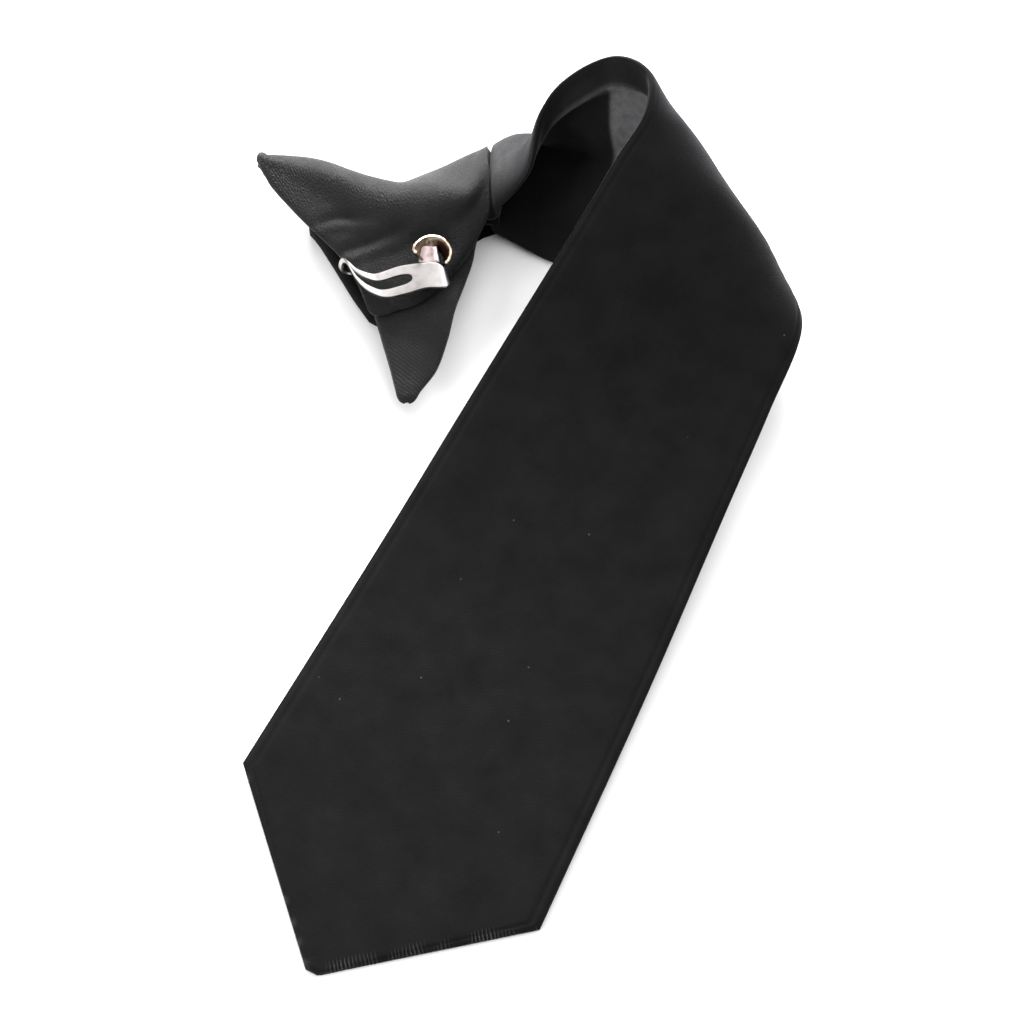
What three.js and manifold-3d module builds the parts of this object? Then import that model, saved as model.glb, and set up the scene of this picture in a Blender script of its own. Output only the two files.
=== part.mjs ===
import * as THREE from 'three';
import { mergeVertices } from 'three/addons/utils/BufferGeometryUtils.js';
import Module from 'manifold-3d';

// A clip-on tie, laid down with the back of its knot and the clip upwards.
// The blade leaves the knot, turns over in a loose roll and comes to rest face up.
// Millimetres. +Y runs up the blade from its point to the roll, +Z is up, the floor is Z = 0.

// Driving sizes of the blade
const BLADE_WIDTH = 77;
const TIP_LENGTH = 34;
const TIP_BLUNT = 3;
const TIP_ASIDE = -1;
const BLADE_WALL = 2.6;
const ROLL_REACH = 183;
const ROLL_HEIGHT = 49;
const SEAM_STEP = 0.35;
const SEAM_BLEND = 2;
const HEM_RISE = 3.2;
const HEM_INSET = 6.5;
const HEM_RIDGE_WIDTH = HEM_INSET / 3;

// Places along the blade, counted as in its guide lines: -1 is the point, 1 the knot
const SEAM_STARTS = [-1, -0.6];
const SEAM_FADES = [0.7, 0.8];
const HEM_CROWDS = [0.74, 0.83];
const HEM_CALMS = [0.86, 0.97];

// Driving sizes of the knot
const KNOT_TURN = 27.8;
const KNOT_LENGTH = 44;
const KNOT_WIDTH = 36;
const FRONT_DEPTH = 7.6;
const FRONT_LIP = 1.2;
const WRAP_WALL = 2.2;
const WING_WALL = 2.4;
const UPPER_WING_REACH = 13.4;
const LOWER_WING_REACH = 58;

// Driving sizes of the clip and its stud
const CLIP_WALL = 0.7;
const CLIP_LENGTH = 26;
const CLIP_WIDTH = 6.8;
const CLIP_SLOT_WIDTH = 2.8;
const CLIP_SLOT_ENDS = [0.5, 0.8];
const CLIP_SLOT_END_WIDTH = 0.2;
const STUD_WIDTH = 9.4;
const STUD_RISE = 3.9;
const STUD_WALL = 0.6;
const TAB_WIDTH = 5.1;
const TAB_LENGTH = 3.9;
const TAB_TAPER = 0.3;
const TAB_SLANT = 0.45;
const TAB_PLACE = new THREE.Vector3(-0.45, 1, 1);

// Room between pieces that touch on the real tie
const GAP = 0.3;
const MOUTH_GAP = 0.9;

// How a folded edge rounds off: its thinnest share of the wall, and how late it thins
const EDGE_WALL_SHARE = 0.35;
const EDGE_SQUARENESS = 12;
const SMALLEST_STEP = 1e-4;

const CLOTH = { color: 0x1d1d1e, roughness: 0.82, metalness: 0 };
const CLOTH_DARK = { color: 0x161617, roughness: 0.86, metalness: 0 };
const STEEL = { color: 0xd8d4d2, roughness: 0.25, metalness: 1 };
const BRASS = { color: 0xb99a6b, roughness: 0.35, metalness: 1 };

// A table's rows become objects whose fields carry the names of its columns
function table(columns, rows) {
  const names = columns.split(' ');
  return rows.map((row) => Object.fromEntries(names.map((name, i) => [name, row[i]])));
}

// A smooth value through the rows of a table, at any place between its first and last row
function valueAt(rows, field, at) {
  const last = rows.length - 1;
  let i = 0;
  while (i < last - 1 && at > rows[i + 1].at) i += 1;
  const slope = (k) => {
    const a = Math.max(k - 1, 0);
    const b = Math.min(k + 1, last);
    return (rows[b][field] - rows[a][field]) / (rows[b].at - rows[a].at);
  };
  const span = rows[i + 1].at - rows[i].at;
  const u = (at - rows[i].at) / span;
  const u2 = u * u;
  const u3 = u2 * u;
  const start = (2 * u3 - 3 * u2 + 1) * rows[i][field] + (u3 - 2 * u2 + u) * span * slope(i);
  return start + (3 * u2 - 2 * u3) * rows[i + 1][field] + (u3 - u2) * span * slope(i + 1);
}

// The same smooth curve through points that are evenly spaced across a cloth, t from -0.5 to 0.5
function acrossAt(points, t) {
  const last = points.length - 1;
  const rows = points.map((point, i) => ({ at: i / last - 0.5, x: point.x, y: point.y, z: point.z }));
  return new THREE.Vector3(valueAt(rows, 'x', t), valueAt(rows, 'y', t), valueAt(rows, 'z', t));
}

// A closed solid of cloth or strip: its middle surface, thickened to both sides
function sheetGeometry(middle, stations, across, halfWall) {
  const step = 1e-3;
  const grid = { face: [], back: [] };
  for (const at of stations) {
    const face = [];
    const back = [];
    for (const t of across) {
      const here = middle(at, t);
      const alongBefore = middle(Math.max(at - step, stations[0]), t);
      const alongAfter = middle(Math.min(at + step, stations[stations.length - 1]), t);
      const acrossBefore = middle(at, Math.max(t - step, -0.5));
      const acrossAfter = middle(at, Math.min(t + step, 0.5));
      const normal = acrossAfter.sub(acrossBefore).cross(alongAfter.sub(alongBefore)).normalize();
      const wall = halfWall(at, t);
      face.push(here.clone().addScaledVector(normal, wall.face));
      back.push(here.clone().addScaledVector(normal, -wall.back));
    }
    grid.face.push(face);
    grid.back.push(back);
  }
  const rings = grid.face.map((face, i) => [...face, ...grid.back[i].slice().reverse()]);
  return loftGeometry(rings);
}

// Closed rings joined one after the other, with a flat cap on both ends
function loftGeometry(rings) {
  const size = rings[0].length;
  const half = size / 2;
  const positions = rings.flat().flatMap((point) => [point.x, point.y, point.z]);
  const index = [];
  for (let i = 0; i < rings.length - 1; i += 1) {
    for (let j = 0; j < size; j += 1) {
      const a = i * size + j;
      const b = i * size + ((j + 1) % size);
      index.push(a, b, b + size, a, b + size, a + size);
    }
  }
  const end = (rings.length - 1) * size;
  for (let j = 0; j < half - 1; j += 1) {
    const k = size - 1 - j;
    index.push(j, k, k - 1, j, k - 1, j + 1);
    index.push(end + j, end + k - 1, end + k, end + j, end + j + 1, end + k - 1);
  }
  const geometry = new THREE.BufferGeometry();
  geometry.setAttribute('position', new THREE.Float32BufferAttribute(positions, 3));
  geometry.setIndex(index);
  return facingOut(geometry);
}

// The signed volume tells which way the triangles face; they are turned if they face in
function facingOut(geometry) {
  const place = geometry.getAttribute('position');
  const index = Array.from(geometry.index.array);
  const corner = (i) => new THREE.Vector3().fromBufferAttribute(place, index[i]);
  let volume = 0;
  for (let i = 0; i < index.length; i += 3) {
    volume += corner(i).dot(corner(i + 1).cross(corner(i + 2)));
  }
  if (volume < 0) {
    for (let i = 0; i < index.length; i += 3) [index[i], index[i + 1]] = [index[i + 1], index[i]];
  }
  geometry.setIndex(index);
  return geometry;
}

function namedMesh(name, geometry, look) {
  const mesh = new THREE.Mesh(geometry, new THREE.MeshStandardMaterial(look));
  mesh.name = name;
  geometry.computeVertexNormals();
  return mesh;
}

function spread(from, to, count) {
  return Array.from({ length: count + 1 }, (_, i) => from + ((to - from) * i) / count);
}

// Cloth edges are folded, so they are rounded: full thickness inside, thin at the very edge
function foldedEdge(t) {
  return Math.max(EDGE_WALL_SHARE, Math.sqrt(Math.max(0, 1 - Math.abs(2 * t) ** EDGE_SQUARENESS)));
}

// The blade: five guide lines run from the corner line (at 0) to the knot (at 1).
// aside is a share of the blade's width, forward of the roll's reach, up of the roll's height.
const GUIDE_COLUMNS = 'at aside forward up';
const NEAR_EDGE = table(GUIDE_COLUMNS, [
  [0.00, -0.500, 0.007, 0.034],
  [0.23, -0.476, 0.317, 0.100],
  [0.41, -0.438, 0.547, 0.310],
  [0.53, -0.394, 0.694, 0.555],
  [0.62, -0.354, 0.796, 0.778],
  [0.69, -0.330, 0.868, 0.927],
  [0.745, -0.316, 0.928, 1.000],
  [0.79, -0.378, 0.987, 0.980],
  [0.835, -0.512, 1.002, 0.885],
  [0.88, -0.622, 0.963, 0.765],
  [0.92, -0.654, 0.917, 0.650],
  [0.96, -0.622, 0.856, 0.480],
  [1.00, -0.687, 0.803, 0.296],
]);
const NEAR_QUARTER = table(GUIDE_COLUMNS, [
  [0.00, -0.250, 0.002, 0.034],
  [0.23, -0.240, 0.315, 0.098],
  [0.41, -0.218, 0.548, 0.285],
  [0.53, -0.196, 0.699, 0.487],
  [0.62, -0.167, 0.806, 0.714],
  [0.69, -0.160, 0.889, 0.843],
  [0.745, -0.211, 0.955, 0.800],
  [0.79, -0.307, 0.983, 0.690],
  [0.835, -0.423, 0.975, 0.580],
  [0.88, -0.540, 0.958, 0.470],
  [0.92, -0.646, 0.938, 0.400],
  [0.96, -0.712, 0.900, 0.315],
  [1.00, -0.753, 0.855, 0.318],
]);
const MIDDLE = table(GUIDE_COLUMNS, [
  [0.00, 0.000, -0.002, 0.034],
  [0.23, -0.008, 0.314, 0.095],
  [0.41, -0.010, 0.550, 0.255],
  [0.53, -0.006, 0.705, 0.419],
  [0.62, 0.010, 0.812, 0.618],
  [0.69, -0.007, 0.901, 0.690],
  [0.745, -0.099, 0.952, 0.568],
  [0.79, -0.213, 0.966, 0.447],
  [0.835, -0.336, 0.961, 0.338],
  [0.88, -0.458, 0.956, 0.240],
  [0.92, -0.598, 0.956, 0.185],
  [0.96, -0.752, 0.945, 0.170],
  [1.00, -0.817, 0.906, 0.188],
]);
const FAR_QUARTER = table(GUIDE_COLUMNS, [
  [0.00, 0.250, -0.007, 0.034],
  [0.23, 0.222, 0.314, 0.090],
  [0.41, 0.198, 0.551, 0.225],
  [0.53, 0.186, 0.710, 0.348],
  [0.62, 0.184, 0.820, 0.500],
  [0.69, 0.122, 0.904, 0.482],
  [0.745, -0.016, 0.926, 0.338],
  [0.79, -0.147, 0.915, 0.260],
  [0.835, -0.281, 0.900, 0.170],
  [0.88, -0.405, 0.893, 0.090],
  [0.92, -0.518, 0.889, 0.050],
  [0.96, -0.665, 0.884, 0.055],
  [1.00, -0.755, 0.856, 0.069],
]);
const FAR_EDGE = table(GUIDE_COLUMNS, [
  [0.00, 0.500, -0.012, 0.034],
  [0.23, 0.450, 0.313, 0.085],
  [0.41, 0.407, 0.553, 0.195],
  [0.53, 0.379, 0.715, 0.280],
  [0.62, 0.348, 0.832, 0.350],
  [0.69, 0.216, 0.891, 0.238],
  [0.745, 0.054, 0.880, 0.142],
  [0.79, -0.082, 0.861, 0.095],
  [0.835, -0.220, 0.842, 0.060],
  [0.88, -0.359, 0.825, 0.035],
  [0.92, -0.490, 0.816, 0.030],
  [0.96, -0.623, 0.815, 0.060],
  [1.00, -0.700, 0.812, 0.098],
]);
const BLADE_GUIDES = [NEAR_EDGE, NEAR_QUARTER, MIDDLE, FAR_QUARTER, FAR_EDGE];

function guidePoint(rows, at) {
  return new THREE.Vector3(
    valueAt(rows, 'aside', at) * BLADE_WIDTH,
    valueAt(rows, 'forward', at) * ROLL_REACH,
    valueAt(rows, 'up', at) * ROLL_HEIGHT,
  );
}

// Below the corners (at under 0) the blade runs straight to its blunt point at -1
function bladeMiddle(at, t) {
  if (at >= 0) return acrossAt(BLADE_GUIDES.map((rows) => guidePoint(rows, at)), t);
  const corner = bladeMiddle(0, t);
  const aside = TIP_ASIDE + (TIP_BLUNT / BLADE_WIDTH) * corner.x;
  const point = new THREE.Vector3(aside, -TIP_LENGTH, corner.z);
  return corner.lerp(point, -at);
}

// The back carries two flaps: one laps the other along the middle, and the turned-in hem by the
// near edge stands up in a ridge where the roll crowds it
function bladeWall(at, t) {
  const half = (BLADE_WALL / 2) * foldedEdge(t);
  const lap = THREE.MathUtils.smoothstep(t * BLADE_WIDTH, 0, SEAM_BLEND);
  const started = THREE.MathUtils.smoothstep(at, ...SEAM_STARTS);
  const faded = THREE.MathUtils.smoothstep(at, ...SEAM_FADES);
  const seam = SEAM_STEP * (1 - lap) * started * (1 - faded) * foldedEdge(t);
  const crowded = THREE.MathUtils.smoothstep(at, ...HEM_CROWDS);
  const calmed = THREE.MathUtils.smoothstep(at, ...HEM_CALMS);
  const inset = (t + 0.5) * BLADE_WIDTH;
  const bulge = Math.exp(-(((inset - HEM_INSET) / HEM_RIDGE_WIDTH) ** 2));
  return { face: half, back: half + seam + HEM_RISE * crowded * (1 - calmed) * bulge };
}

const BLADE_STATIONS = [
  ...spread(-1, -0.25, 3), ...spread(0, 0.36, 6), ...spread(0.4, 0.7, 12), ...spread(0.715, 1, 20),
];
const BLADE_ACROSS = [
  -0.5, -0.492, -0.47, -0.44, -0.415, -0.39, -0.35, -0.28, -0.18, -0.08, 0, SEAM_BLEND / BLADE_WIDTH,
  0.1, 0.19, 0.28, 0.36, 0.42, 0.47, 0.492, 0.5,
];

function blade() {
  const geometry = sheetGeometry(bladeMiddle, BLADE_STATIONS, BLADE_ACROSS, bladeWall);
  return namedMesh('blade', geometry, CLOTH);
}

// The knot stands in its own frame: origin at the neck, on the floor, -X into the knot
const [neckNear, neckShoulder, neckFar, neckUnder] = BLADE_GUIDES.map((rows) => guidePoint(rows, 1));
const neckAcross = neckFar.clone().sub(neckNear).setZ(0);
const KNOT_PLACE = neckNear.clone().setZ(0).addScaledVector(neckAcross, 0.5);

// What lies on what, from the floor up: each level is the middle of a wall
const CLIP_LEVEL = FRONT_DEPTH + GAP + CLIP_WALL / 2;
const WING_LEVEL = CLIP_LEVEL + CLIP_WALL / 2 + GAP + WING_WALL / 2;
const WRAP_LEVEL = WING_LEVEL + WING_WALL / 2 + GAP + WRAP_WALL / 2;
const TONGUE_LEVEL = WRAP_LEVEL + WRAP_WALL / 2 + GAP + CLIP_WALL / 2;

// The padded front of the knot: along is a share of its length, near and far of its width.
// By the neck it is only a lip under the blade; then it has its full depth (deep is 1).
const FRONT_ROWS = table('along near far deep', [
  [-0.06, -0.19, 0.17, 0],
  [0.04, -0.24, 0.15, 0],
  [0.13, -0.31, 0.07, 0],
  [0.16, -0.35, 0.04, 1],
  [0.28, -0.50, 0.04, 1],
  [0.50, -0.80, -0.05, 1],
  [0.62, -0.96, -0.06, 1],
  [0.66, -0.93, -0.06, 1],
  [0.75, -0.76, -0.08, 1],
  [0.85, -0.54, -0.10, 1],
  [0.93, -0.37, -0.13, 1],
  [1.00, -0.23, -0.18, 1],
]);

// A section of the padded front: flat below and above, with sides rounded as far as it is wide
const WIDTH_PER_ROUND = 2.2;

function paddedRing(x, near, far, depth) {
  const round = Math.min(depth / 2, (far - near) / WIDTH_PER_ROUND);
  const side = (centre, direction) => spread(0, Math.PI, 5).map((angle) => new THREE.Vector3(
    x,
    centre + direction * round * Math.sin(angle),
    (depth / 2) * (1 - direction * Math.cos(angle)),
  ));
  return [...side(far - round, 1), ...side(near + round, -1)];
}

function knotFront() {
  const rings = FRONT_ROWS.map((row) => {
    const depth = row.deep ? FRONT_DEPTH : FRONT_LIP;
    return paddedRing(-row.along * KNOT_LENGTH, row.near * KNOT_WIDTH, row.far * KNOT_WIDTH, depth);
  });
  return namedMesh('knot_front', loftGeometry(rings), CLOTH_DARK);
}

// The cloth wrapped round the knot's back. It runs from the neck (at 0) past the knot's top (at 1)
// to the upper wing's tip (nearly 2) and is folded along its far side. The side columns are
// shares of the knot's width, the up columns of the height at which it lies on the lower wing.
const WRAP_COLUMNS = 'at near nearUp shoulder shoulderUp crest crestUp far farUp under underUp';
const WRAP_ROWS = table(WRAP_COLUMNS, [
  [0.112, -0.57, 1.00, -0.31, 1.23, -0.13, 1.34, 0.256, 0.66, 0.075, 0.23],
  [0.248, -0.79, 1.00, -0.47, 1.16, -0.18, 1.41, 0.170, 0.63, 0.115, 0.24],
  [0.382, -0.945, 1.00, -0.58, 1.12, -0.20, 1.42, 0.092, 0.63, 0.055, 0.26],
  [0.494, -0.995, 1.00, -0.58, 1.10, -0.21, 1.42, 0.033, 0.63, 0.000, 0.29],
  [0.574, -1.03, 1.00, -0.60, 1.10, -0.19, 1.40, 0.045, 0.63, 0.006, 0.32],
  [0.648, -1.00, 1.00, -0.57, 1.08, -0.15, 1.34, 0.072, 0.62, 0.022, 0.36],
  [0.715, -0.80, 1.00, -0.445, 1.07, -0.11, 1.28, 0.106, 0.62, 0.033, 0.40],
  [0.798, -0.61, 0.99, -0.305, 1.05, -0.033, 1.20, 0.145, 0.61, 0.040, 0.43],
  [0.885, -0.47, 0.93, -0.195, 1.00, 0.030, 1.10, 0.190, 0.61, 0.014, 0.45],
  [0.985, -0.333, 0.86, -0.097, 0.92, 0.095, 0.98, 0.220, 0.61, -0.030, 0.44],
  [1.32, -0.167, 0.80, 0.022, 0.85, 0.155, 0.87, 0.230, 0.62, -0.030, 0.42],
  [1.69, 0.017, 0.74, 0.122, 0.78, 0.200, 0.79, 0.245, 0.62, 0.090, 0.42],
  [1.80, 0.105, 0.73, 0.170, 0.76, 0.222, 0.76, 0.248, 0.61, 0.150, 0.44],
  [1.89, 0.170, 0.72, 0.215, 0.74, 0.252, 0.73, 0.285, 0.60, 0.205, 0.46],
  [1.96, 0.215, 0.72, 0.237, 0.73, 0.257, 0.72, 0.278, 0.60, 0.228, 0.48],
]);

function wrapReach(at) {
  return Math.min(at, 1) * KNOT_LENGTH + Math.max(at - 1, 0) * UPPER_WING_REACH;
}

// At the mouth the wrap has the section of the blade's neck, so the two meet flush: side counts
// half necks from the middle, rise counts the height of the neck's shoulder
const MOUTH_SHOULDER = { side: -0.3, rise: 1.01 };
const MOUTH_CREST = { side: 0.4, rise: 0.95 };
const MOUTH_UNDER = { side: 0.1 };

function wrapRows() {
  const half = neckAcross.length() / 2 / KNOT_WIDTH;
  const level = (z) => z / WRAP_LEVEL;
  const mouth = {
    at: MOUTH_GAP / KNOT_LENGTH,
    near: -half, nearUp: level(neckNear.z),
    shoulder: MOUTH_SHOULDER.side * half, shoulderUp: level(MOUTH_SHOULDER.rise * neckShoulder.z),
    crest: MOUTH_CREST.side * half, crestUp: level(MOUTH_CREST.rise * neckShoulder.z),
    far: half, farUp: level(neckFar.z),
    under: MOUTH_UNDER.side * half, underUp: level(neckUnder.z),
  };
  return [mouth, ...WRAP_ROWS].map((row) => ({ ...row, at: wrapReach(row.at) }));
}

function knotWrap() {
  const rows = wrapRows();
  const guides = ['near', 'shoulder', 'crest', 'far', 'under'];
  const middle = (at, t) => acrossAt(guides.map((name) => new THREE.Vector3(
    -at,
    valueAt(rows, name, at) * KNOT_WIDTH,
    valueAt(rows, `${name}Up`, at) * WRAP_LEVEL,
  )), t);
  const wall = (at, t) => {
    const half = (WRAP_WALL / 2) * foldedEdge(t);
    return { face: half, back: half };
  };
  const stations = spread(rows[0].at, rows[rows.length - 1].at, 38);
  const across = [
    -0.5, -0.49, -0.46, -0.4, -0.3, -0.2, -0.1, 0, 0.08, 0.15, 0.2, 0.25, 0.3, 0.36, 0.43, 0.48, 0.5,
  ];
  return namedMesh('knot_wrap', sheetGeometry(middle, stations, across, wall), CLOTH);
}

// The lower wing: at is a share of its reach, left and right of the knot's width, up of the
// height at which it lies on the clip's leg
const LOWER_WING_ROWS = table('at left right up', [
  [0.20, -0.55, -0.060, 1.00],
  [0.28, -0.65, -0.095, 1.00],
  [0.36, -0.72, -0.115, 1.00],
  [0.465, -0.765, -0.165, 1.00],
  [0.585, -0.770, -0.228, 0.99],
  [0.72, -0.715, -0.275, 0.93],
  [0.86, -0.650, -0.350, 0.84],
  [0.95, -0.612, -0.455, 0.78],
  [0.985, -0.590, -0.490, 0.76],
  [1.00, -0.553, -0.527, 0.76],
]);
const LOWER_WING_CROWN = 0.5;
const CROWN_RISES = [0.6, 0.8];

function lowerWing() {
  const middle = (at, t) => {
    const left = valueAt(LOWER_WING_ROWS, 'left', at) * KNOT_WIDTH;
    const right = valueAt(LOWER_WING_ROWS, 'right', at) * KNOT_WIDTH;
    const free = THREE.MathUtils.smoothstep(at, ...CROWN_RISES);
    const crown = LOWER_WING_CROWN * (1 - (2 * t) ** 2) * free;
    const height = valueAt(LOWER_WING_ROWS, 'up', at) * WING_LEVEL + crown;
    return new THREE.Vector3((left + right) / 2 + (right - left) * t, -at * LOWER_WING_REACH, height);
  };
  const wall = (at, t) => {
    const half = (WING_WALL / 2) * foldedEdge(t);
    return { face: half, back: half };
  };
  const stations = [...spread(0.2, 0.9, 14), 0.94, 0.97, 0.985, 0.994, 1];
  const across = [-0.5, -0.485, -0.44, -0.3, -0.15, 0, 0.15, 0.3, 0.44, 0.485, 0.5];
  return namedMesh('wing_lower', sheetGeometry(middle, stations, across, wall), CLOTH);
}

// The clip is one strip: a leg inside the knot, a bend round its top edge and a slotted tongue.
// In columns are shares of the tongue's length, side columns of its width, both counted from the
// middle of the bend; up counts from the leg's level (0) to the tongue's level (1).
const CLIP_ROWS = table('at farIn farSide nearIn nearSide up', [
  [0.00, 0.54, 1.25, 0.64, 0.30, 0.00],
  [0.12, 0.28, 1.09, 0.35, 0.26, 0.00],
  [0.24, 0.04, 0.82, 0.08, 0.32, 0.00],
  [0.30, -0.055, 0.60, -0.03, 0.42, 0.03],
  [0.38, -0.10, 0.46, -0.08, 0.29, 0.52],
  [0.46, -0.06, 0.50, -0.04, 0.33, 1.03],
  [0.53, 0.055, 0.04, 0.067, -0.42, 1.11],
  [0.57, 0.148, -0.16, 0.17, -0.86, 1.14],
  [0.62, 0.24, -0.23, 0.31, -1.14, 1.17],
  [0.74, 0.45, -0.03, 0.50, -1.11, 1.34],
  [0.86, 0.67, 0.00, 0.70, -0.98, 1.56],
  [0.93, 0.79, -0.05, 0.83, -1.02, 1.68],
  [0.97, 0.85, -0.24, 0.89, -0.99, 1.70],
  [1.00, 0.88, -0.46, 0.91, -0.84, 1.60],
]);
const CLIP_PLACE = { along: 0.755, aside: -0.722 };

function clipMiddle(at, t) {
  const point = (inward, side) => new THREE.Vector3(
    -CLIP_PLACE.along * KNOT_LENGTH + valueAt(CLIP_ROWS, inward, at) * CLIP_LENGTH,
    CLIP_PLACE.aside * KNOT_WIDTH + valueAt(CLIP_ROWS, side, at) * CLIP_WIDTH,
    CLIP_LEVEL + valueAt(CLIP_ROWS, 'up', at) * (TONGUE_LEVEL - CLIP_LEVEL),
  );
  return point('nearIn', 'nearSide').lerp(point('farIn', 'farSide'), t + 0.5);
}

function clipSpring(wasm) {
  const strip = sheetGeometry(clipMiddle, spread(0, 1, 40), spread(-0.5, 0.5, 6), () => (
    { face: CLIP_WALL / 2, back: CLIP_WALL / 2 }
  ));
  const slotShare = CLIP_SLOT_WIDTH / CLIP_WIDTH;
  const [from, to] = CLIP_SLOT_ENDS;
  const slotMiddle = (at, t) => {
    const fromMiddle = (2 * at - from - to) / (to - from);
    const round = Math.max(CLIP_SLOT_END_WIDTH, Math.sqrt(Math.max(0, 1 - fromMiddle ** 6)));
    return clipMiddle(at, t * slotShare * round);
  };
  const cutter = sheetGeometry(slotMiddle, spread(from, to, 20), [-0.5, 0, 0.5], () => (
    { face: 2 * CLIP_WALL, back: 2 * CLIP_WALL }
  ));
  const slotted = toManifold(wasm, strip).subtract(toManifold(wasm, cutter));
  return namedMesh('clip_spring', fromManifold(slotted), STEEL);
}

function toManifold(wasm, geometry) {
  const merged = mergeVertices(geometry, SMALLEST_STEP);
  return new wasm.Manifold(new wasm.Mesh({
    numProp: 3,
    vertProperties: new Float32Array(merged.getAttribute('position').array),
    triVerts: new Uint32Array(merged.index.array),
  }));
}

function fromManifold(solid) {
  const mesh = solid.getMesh();
  const geometry = new THREE.BufferGeometry();
  geometry.setAttribute('position', new THREE.Float32BufferAttribute(mesh.vertProperties, 3));
  geometry.setIndex(Array.from(mesh.triVerts));
  return geometry;
}

// The stud stands on the wrap behind the tongue: a ring of curled strip, open towards the tongue,
// round a flat tab. Angles are counted from +X, radius columns are shares of the ring's.
const STUD_ROWS = table('at angle radius', [
  [0.00, -44, 1.00],
  [0.30, 30, 1.00],
  [0.60, 105, 1.00],
  [0.84, 165, 1.00],
  [0.92, 176, 0.96],
  [1.00, 184, 0.80],
]);
const STUD_PLACE = { along: 0.31, aside: -0.667, lift: 1.7 };

function onStud(mesh) {
  mesh.position.set(
    -STUD_PLACE.along * KNOT_LENGTH,
    STUD_PLACE.aside * KNOT_WIDTH,
    TONGUE_LEVEL + STUD_PLACE.lift,
  );
  return mesh;
}

function studRing() {
  const radius = (STUD_WIDTH - STUD_WALL) / 2;
  const middle = (at, t) => {
    const angle = THREE.MathUtils.degToRad(valueAt(STUD_ROWS, 'angle', at));
    const reach = valueAt(STUD_ROWS, 'radius', at) * radius;
    return new THREE.Vector3(reach * Math.cos(angle), reach * Math.sin(angle), (t + 0.5) * STUD_RISE);
  };
  const wall = () => ({ face: STUD_WALL / 2, back: STUD_WALL / 2 });
  const geometry = sheetGeometry(middle, spread(0, 1, 24), spread(-0.5, 0.5, 2), wall);
  return onStud(namedMesh('stud_ring', geometry, BRASS));
}

function studTab() {
  const slant = new THREE.Vector3(0, TAB_LENGTH * Math.cos(TAB_SLANT), TAB_LENGTH * Math.sin(TAB_SLANT));
  const middle = (at, t) => {
    const width = TAB_WIDTH * (1 - TAB_TAPER * at);
    return new THREE.Vector3(t * width, 0, 0).addScaledVector(slant, at - 0.5).add(TAB_PLACE);
  };
  const wall = () => ({ face: STUD_WALL / 2, back: STUD_WALL / 2 });
  return onStud(namedMesh('stud_tab', sheetGeometry(middle, [0, 1], [-0.5, 0, 0.5], wall), STEEL));
}

// Assembly: the knot's frame turns about the neck, and the whole tie stands on its box's middle
const wasm = await Module();
wasm.setup();

const knot = new THREE.Group();
knot.position.copy(KNOT_PLACE);
knot.rotation.z = THREE.MathUtils.degToRad(KNOT_TURN);
knot.add(knotFront(), knotWrap(), lowerWing(), clipSpring(wasm), studRing(), studTab());

const tie = new THREE.Group();
tie.add(blade(), knot);
tie.updateMatrixWorld(true);
const box = new THREE.Box3().setFromObject(tie, true);
const middle = box.getCenter(new THREE.Vector3());
tie.position.set(-middle.x, -middle.y, -box.min.z);
tie.updateMatrixWorld(true);

export default tie;
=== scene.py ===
# %% [markdown]
# A clip-on tie, laid down with its clip up.
#
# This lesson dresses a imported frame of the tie. The frame holds plain solids: the blade, the
# knot's front, the cloth wrapped round it, its lower wing, the spring clip, and the ring and the
# tab of the little stud beside it. Each soft solid is replaced by a finer piece of cloth in the
# same place, and the metal pieces get rounded edges and a bright finish. All lengths are in
# metres.

# %% Load the frame
import math

import bpy
import numpy as np
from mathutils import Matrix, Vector


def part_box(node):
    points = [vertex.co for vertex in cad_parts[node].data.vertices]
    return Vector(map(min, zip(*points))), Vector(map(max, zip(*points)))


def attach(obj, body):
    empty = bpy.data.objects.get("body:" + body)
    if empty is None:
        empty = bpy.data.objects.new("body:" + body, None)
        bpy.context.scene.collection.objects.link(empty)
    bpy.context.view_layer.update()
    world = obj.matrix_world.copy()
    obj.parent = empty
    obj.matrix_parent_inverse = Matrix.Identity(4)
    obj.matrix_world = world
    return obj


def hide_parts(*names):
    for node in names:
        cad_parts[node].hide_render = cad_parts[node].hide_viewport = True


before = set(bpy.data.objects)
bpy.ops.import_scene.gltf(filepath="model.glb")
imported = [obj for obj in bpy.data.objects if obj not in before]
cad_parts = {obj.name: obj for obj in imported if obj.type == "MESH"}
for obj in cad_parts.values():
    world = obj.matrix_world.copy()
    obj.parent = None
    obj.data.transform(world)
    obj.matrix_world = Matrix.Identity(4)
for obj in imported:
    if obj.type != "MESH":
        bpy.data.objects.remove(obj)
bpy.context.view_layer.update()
bpy.ops.object.select_all(action="DESELECT")
print("nodes:", sorted(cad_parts))

# %% [markdown]
# Cloth follows guide lines. A table names a few stations along a piece, and a smooth curve is
# drawn through each of its columns. The same few lines of code read every table of the lesson,
# so a shape is changed by changing one row.


# %% Tables and smooth curves
MM = 0.001


def table(columns, rows):
    values = np.array(rows, float)
    return {name: values[:, i] for i, name in enumerate(columns.split())}


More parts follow.
